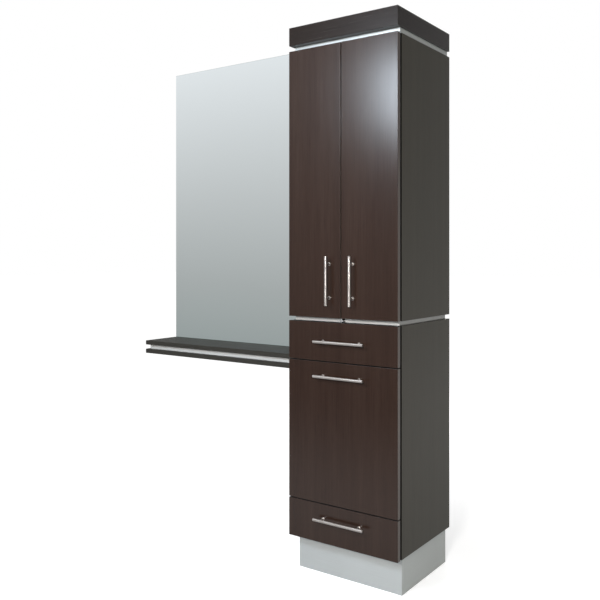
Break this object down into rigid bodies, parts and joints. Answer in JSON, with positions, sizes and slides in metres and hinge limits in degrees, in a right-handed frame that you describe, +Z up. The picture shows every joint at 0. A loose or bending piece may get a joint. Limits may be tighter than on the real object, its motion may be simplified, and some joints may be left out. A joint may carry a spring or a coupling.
{
  "type": "double sided salon station",
  "caption": "Tall salon storage tower with doors, drawers and a tilt-out panel, and a wing with a mirror on both faces above a ledge.",
  "frame": {"origin": "on the floor below the middle of the tower's cabinets, on the underside of the ballast plate", "axes": "+Z up; the doors and drawers face -Y; the mirror wing runs out along -X"},
  "size_m": [1.3283, 0.4705, 2.134],
  "materials": {
    "espresso_laminate": "dark espresso wood-grain laminate, satin",
    "silver_laminate": "board faced with brushed silver laminate",
    "melamine": "pale melamine faced board",
    "brushed_steel": "brushed",
    "zinc_steel": "zinc plated",
    "lock_chrome": "polished",
    "mirror_glass": "silvered glass with a ground edge",
    "ballast_steel": "black primer"
  },
  "bodies": {
    "tower": {"plinth_front": "silver_laminate", "plinth_back": "silver_laminate", "plinth_left": "silver_laminate", "plinth_right": "silver_laminate", "ballast_plate": "ballast_steel", "lower_left_side": "espresso_laminate", "lower_right_side": "espresso_laminate", "lower_bottom": "espresso_laminate", "lower_top": "espresso_laminate", "lower_divider": "espresso_laminate", "upper_left_side": "espresso_laminate", "upper_right_side": "espresso_laminate", "upper_bottom": "espresso_laminate", "upper_top": "espresso_laminate", "upper_shelf_low": "espresso_laminate", "upper_shelf_high": "espresso_laminate", "back_panel": "espresso_laminate", "mid_reveal": "silver_laminate", "top_reveal": "silver_laminate", "crown": "espresso_laminate", "left_door_lower_hinge_arm": "zinc_steel", "left_door_upper_hinge_arm": "zinc_steel", "right_door_lower_hinge_arm": "zinc_steel", "right_door_upper_hinge_arm": "zinc_steel", "top_drawer_left_runner": "zinc_steel", "top_drawer_right_runner": "zinc_steel", "bottom_drawer_left_runner": "zinc_steel", "bottom_drawer_right_runner": "zinc_steel", "tilt_left_hinge_arm": "zinc_steel", "tilt_right_hinge_arm": "zinc_steel", "shelf_top": "espresso_laminate", "shelf_core": "silver_laminate", "shelf_bottom": "espresso_laminate", "mirror_core": "espresso_laminate", "front_mirror": "mirror_glass", "back_mirror": "mirror_glass"},
    "left_door": {"left_door": "espresso_laminate", "left_door_handle": "brushed_steel", "left_door_lower_hinge_cup": "zinc_steel", "left_door_upper_hinge_cup": "zinc_steel"},
    "right_door": {"right_door": "espresso_laminate", "right_door_handle": "brushed_steel", "right_door_lower_hinge_cup": "zinc_steel", "right_door_upper_hinge_cup": "zinc_steel"},
    "top_drawer": {"top_drawer_front": "espresso_laminate", "top_drawer_handle": "brushed_steel", "top_drawer_box": "melamine", "top_drawer_left_slide": "zinc_steel", "top_drawer_right_slide": "zinc_steel"},
    "bottom_drawer": {"bottom_drawer_front": "espresso_laminate", "bottom_drawer_handle": "brushed_steel", "bottom_drawer_box": "melamine", "bottom_drawer_left_slide": "zinc_steel", "bottom_drawer_right_slide": "zinc_steel"},
    "tilt_out": {"tilt_panel": "espresso_laminate", "tilt_handle": "brushed_steel", "tool_holder": "brushed_steel", "tilt_left_hinge_cup": "zinc_steel", "tilt_right_hinge_cup": "zinc_steel"},
    "lock": {"lock_barrel": "lock_chrome"}
  },
  "joints": [
    {"name": "left_door_hinge", "type": "hinge", "parent": "tower", "child": "left_door", "pos_m": [-0.2315, -0.2255, 1.521], "axis": [0, 0, -1], "range_deg": [0, 105]},
    {"name": "right_door_hinge", "type": "hinge", "parent": "tower", "child": "right_door", "pos_m": [0.2315, -0.2255, 1.521], "axis": [0, 0, 1], "range_deg": [0, 105]},
    {"name": "top_drawer_slide", "type": "slide", "parent": "tower", "child": "top_drawer", "axis": [0, -1, 0], "range_m": [0, 0.26]},
    {"name": "bottom_drawer_slide", "type": "slide", "parent": "tower", "child": "bottom_drawer", "axis": [0, -1, 0], "range_m": [0, 0.26]},
    {"name": "tilt_out_hinge", "type": "hinge", "parent": "tower", "child": "tilt_out", "pos_m": [0, -0.227, 0.3], "axis": [1, 0, 0], "range_deg": [0, 35]},
    {"name": "lock_turn", "type": "hinge", "parent": "tower", "child": "lock", "pos_m": [0, -0.217, 0.9925], "axis": [0, -1, 0], "range_deg": [0, 90]}
  ]
}
